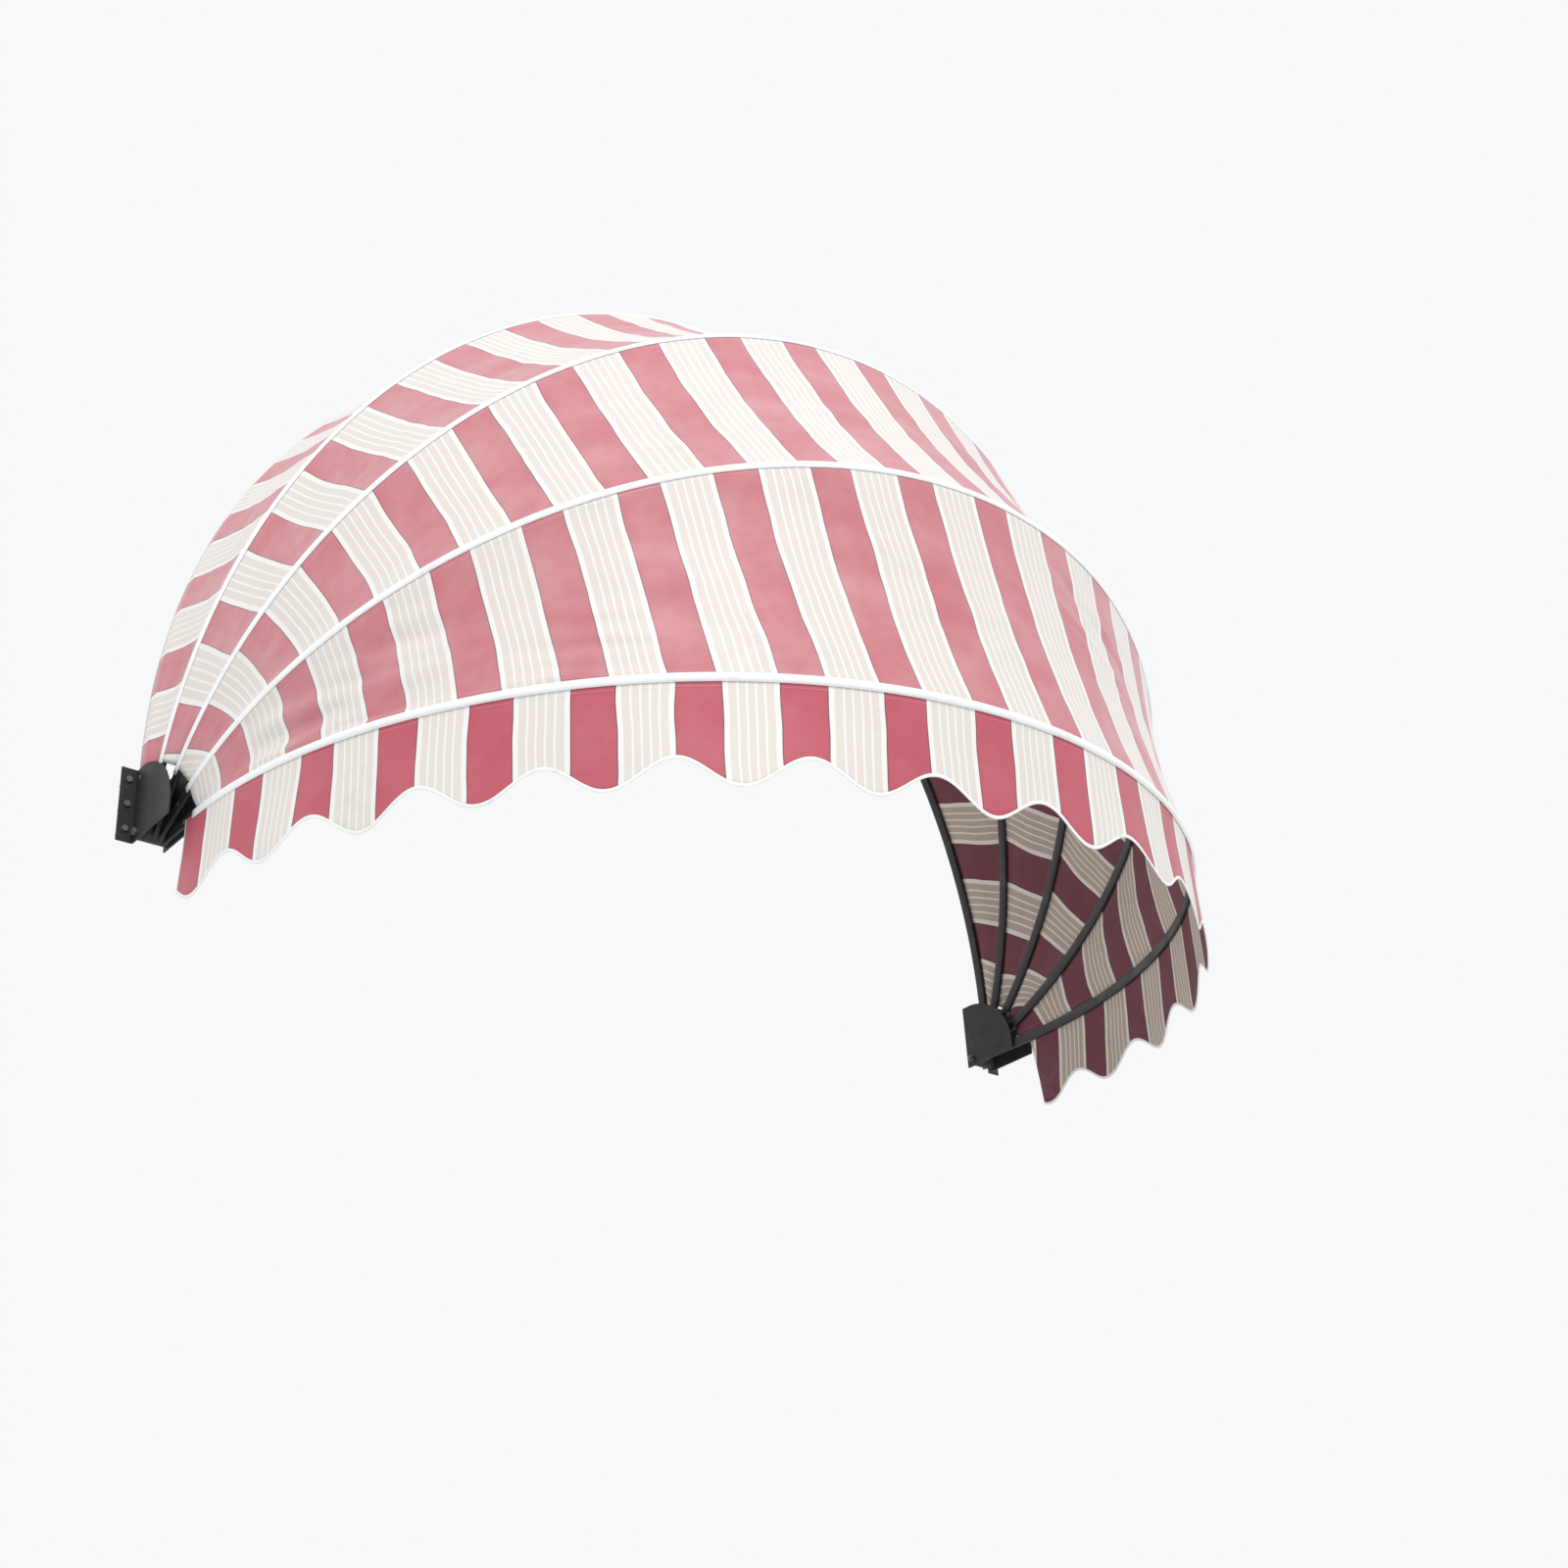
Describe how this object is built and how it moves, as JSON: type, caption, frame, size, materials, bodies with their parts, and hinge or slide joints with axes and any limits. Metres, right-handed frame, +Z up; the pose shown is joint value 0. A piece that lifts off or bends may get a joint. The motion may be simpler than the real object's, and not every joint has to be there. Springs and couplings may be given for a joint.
{
  "type": "fabric awning",
  "caption": "Dome window awning: bent bows hinged on two wall brackets carry striped cloth gores, cover strips and a scalloped valance, and fold up against the wall.",
  "frame": {"origin": "on the wall plane, at the middle of the crown clip's back face, behind the crown of the wall bow", "axes": "+X along the pivot axis, across the window; +Y into the wall; +Z up; the awning stands out towards -Y"},
  "size_m": [2.6444, 1.5459, 1.9842],
  "materials": {
    "bow_paint": "satin near-black paint",
    "bracket_paint": "matt near-black paint",
    "fastener_steel": "zinc-plated",
    "striped_cloth": "woven, red and cream stripes with fine pinstripes",
    "cover_strip": "white, satin",
    "binding": "white woven tape"
  },
  "bodies": {
    "wall_frame": {"wall_bow": "bow_paint", "wall_foot_right": "bracket_paint", "wall_foot_rivet_right": "fastener_steel", "wall_foot_left": "bracket_paint", "wall_foot_rivet_left": "fastener_steel", "hub_bracket_right": "bracket_paint", "pivot_bolt_right": "fastener_steel", "pivot_washer_right": "fastener_steel", "pivot_nut_right": "fastener_steel", "bracket_screw_right_1": "fastener_steel", "bracket_screw_right_2": "fastener_steel", "bracket_screw_right_3": "fastener_steel", "hub_bracket_left": "bracket_paint", "pivot_bolt_left": "fastener_steel", "pivot_washer_left": "fastener_steel", "pivot_nut_left": "fastener_steel", "bracket_screw_left_1": "fastener_steel", "bracket_screw_left_2": "fastener_steel", "bracket_screw_left_3": "fastener_steel", "wall_clip_right": "bracket_paint", "wall_clip_screw_right": "fastener_steel", "wall_clip_crown": "bracket_paint", "wall_clip_screw_crown": "fastener_steel", "wall_clip_left": "bracket_paint", "wall_clip_screw_left": "fastener_steel"},
    "second_bow_body": {"second_bow": "bow_paint", "second_foot_right": "bracket_paint", "second_foot_rivet_right": "fastener_steel", "second_foot_left": "bracket_paint", "second_foot_rivet_left": "fastener_steel", "second_cover_strip": "cover_strip", "cloth_gore_1": "striped_cloth"},
    "third_bow_body": {"third_bow": "bow_paint", "third_foot_right": "bracket_paint", "third_foot_rivet_right": "fastener_steel", "third_foot_left": "bracket_paint", "third_foot_rivet_left": "fastener_steel", "third_cover_strip": "cover_strip", "cloth_gore_2": "striped_cloth"},
    "fourth_bow_body": {"fourth_bow": "bow_paint", "fourth_foot_right": "bracket_paint", "fourth_foot_rivet_right": "fastener_steel", "fourth_foot_left": "bracket_paint", "fourth_foot_rivet_left": "fastener_steel", "fourth_cover_strip": "cover_strip", "cloth_gore_3": "striped_cloth"},
    "front_bow_body": {"front_bow": "bow_paint", "front_foot_right": "bracket_paint", "front_foot_rivet_right": "fastener_steel", "front_foot_left": "bracket_paint", "front_foot_rivet_left": "fastener_steel", "front_cover_strip": "cover_strip", "cloth_gore_4": "striped_cloth", "valance": "striped_cloth", "valance_binding": "binding"}
  },
  "joints": [
    {"name": "second_bow_pivot", "type": "hinge", "parent": "wall_frame", "child": "second_bow_body", "pos_m": [0, -0.018, -1.69], "axis": [-1, 0, 0], "range_deg": [0, 16.5], "deforming": ["cloth_gore_1"]},
    {"name": "third_bow_pivot", "type": "hinge", "parent": "second_bow_body", "child": "third_bow_body", "pos_m": [0, -0.018, -1.69], "axis": [-1, 0, 0], "range_deg": [0, 19.5], "deforming": ["cloth_gore_2"]},
    {"name": "fourth_bow_pivot", "type": "hinge", "parent": "third_bow_body", "child": "fourth_bow_body", "pos_m": [0, -0.018, -1.69], "axis": [-1, 0, 0], "range_deg": [0, 20.5], "deforming": ["cloth_gore_3"]},
    {"name": "front_bow_pivot", "type": "hinge", "parent": "fourth_bow_body", "child": "front_bow_body", "pos_m": [0, -0.018, -1.69], "axis": [-1, 0, 0], "range_deg": [0, 19.5], "deforming": ["cloth_gore_4"]}
  ]
}
